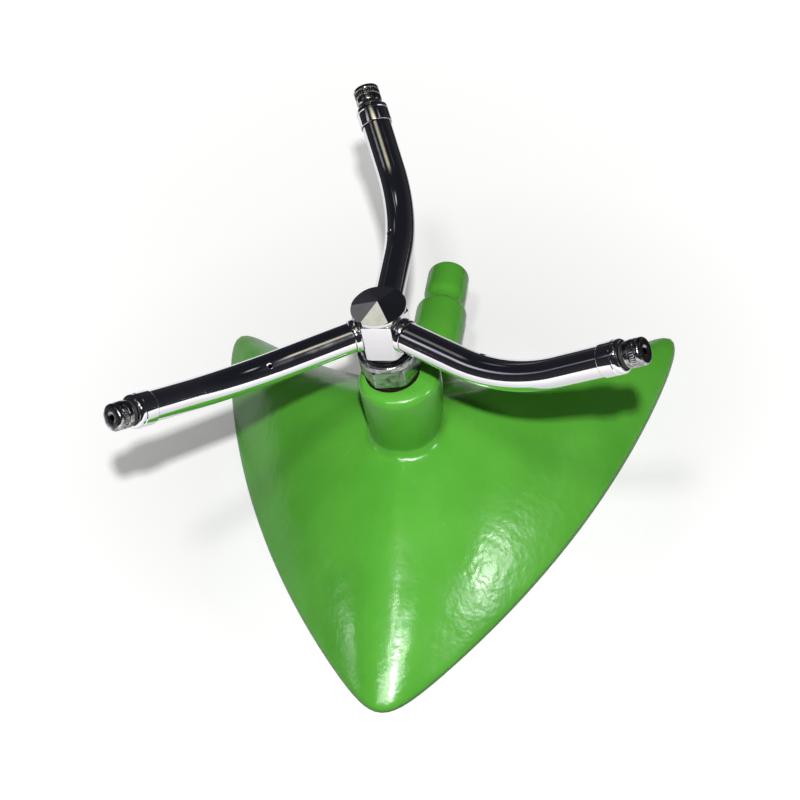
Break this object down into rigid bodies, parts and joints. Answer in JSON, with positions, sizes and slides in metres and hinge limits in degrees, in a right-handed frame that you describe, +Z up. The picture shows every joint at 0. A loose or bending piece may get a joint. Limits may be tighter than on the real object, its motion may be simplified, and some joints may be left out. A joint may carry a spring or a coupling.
{
  "type": "rotary lawn sprinkler",
  "caption": "Rotary lawn sprinkler: a chromed arm rotor with screw-on nozzle caps spins on a gland nut above a vaulted green cast base with a hose tail.",
  "frame": {"origin": "bottom centre of the whole sprinkler's box, on the surface that it stands on", "axes": "+Z up along the spin axis, +Y towards the hose tail, -Y towards the base's front corner"},
  "size_m": [0.2084, 0.2203, 0.1371],
  "materials": {
    "green_enamel": "thick glossy green enamel on a sand casting",
    "chrome": "polished chrome plate",
    "brass": "machined brass",
    "gasket_fibre": "dark oiled fibre gasket",
    "black_nylon": "black nylon bearing washer",
    "seal_rubber": "black rubber"
  },
  "bodies": {
    "base": {"base_casting": "green_enamel", "nut_gasket": "gasket_fibre", "bearing_nut": "chrome", "thrust_washer": "black_nylon"},
    "rotor": {"hub": "chrome", "hub_cap": "chrome", "stem": "brass", "stem_washer": "black_nylon", "arm_ferrule_1": "chrome", "arm_ferrule_2": "chrome", "arm_ferrule_3": "chrome", "arm_tube_1": "chrome", "arm_tube_2": "chrome", "arm_tube_3": "chrome", "nozzle_body_1": "chrome", "nozzle_body_2": "chrome", "nozzle_body_3": "chrome", "nozzle_seal_1": "seal_rubber", "nozzle_seal_2": "seal_rubber", "nozzle_seal_3": "seal_rubber"},
    "cap_1": {"nozzle_cap_1": "chrome"},
    "cap_2": {"nozzle_cap_2": "chrome"},
    "cap_3": {"nozzle_cap_3": "chrome"}
  },
  "joints": [
    {"name": "rotor_spin", "type": "hinge", "parent": "base", "child": "rotor", "pos_m": [-0.00516, -0.0037, 0.1067], "axis": [0, 0, 1], "continuous": true},
    {"name": "cap_1_twist", "type": "hinge", "parent": "rotor", "child": "cap_1", "pos_m": [0.08574, -0.03906, 0.12515], "axis": [0.8955, -0.1187, 0.429], "range_deg": [0, 360]},
    {"name": "cap_2_twist", "type": "hinge", "parent": "rotor", "child": "cap_2", "pos_m": [-0.01999, 0.0927, 0.12515], "axis": [-0.3449, 0.8348, 0.429], "range_deg": [0, 360]},
    {"name": "cap_3_twist", "type": "hinge", "parent": "rotor", "child": "cap_3", "pos_m": [-0.08123, -0.06475, 0.12515], "axis": [-0.5505, -0.7161, 0.429], "range_deg": [0, 360]}
  ]
}
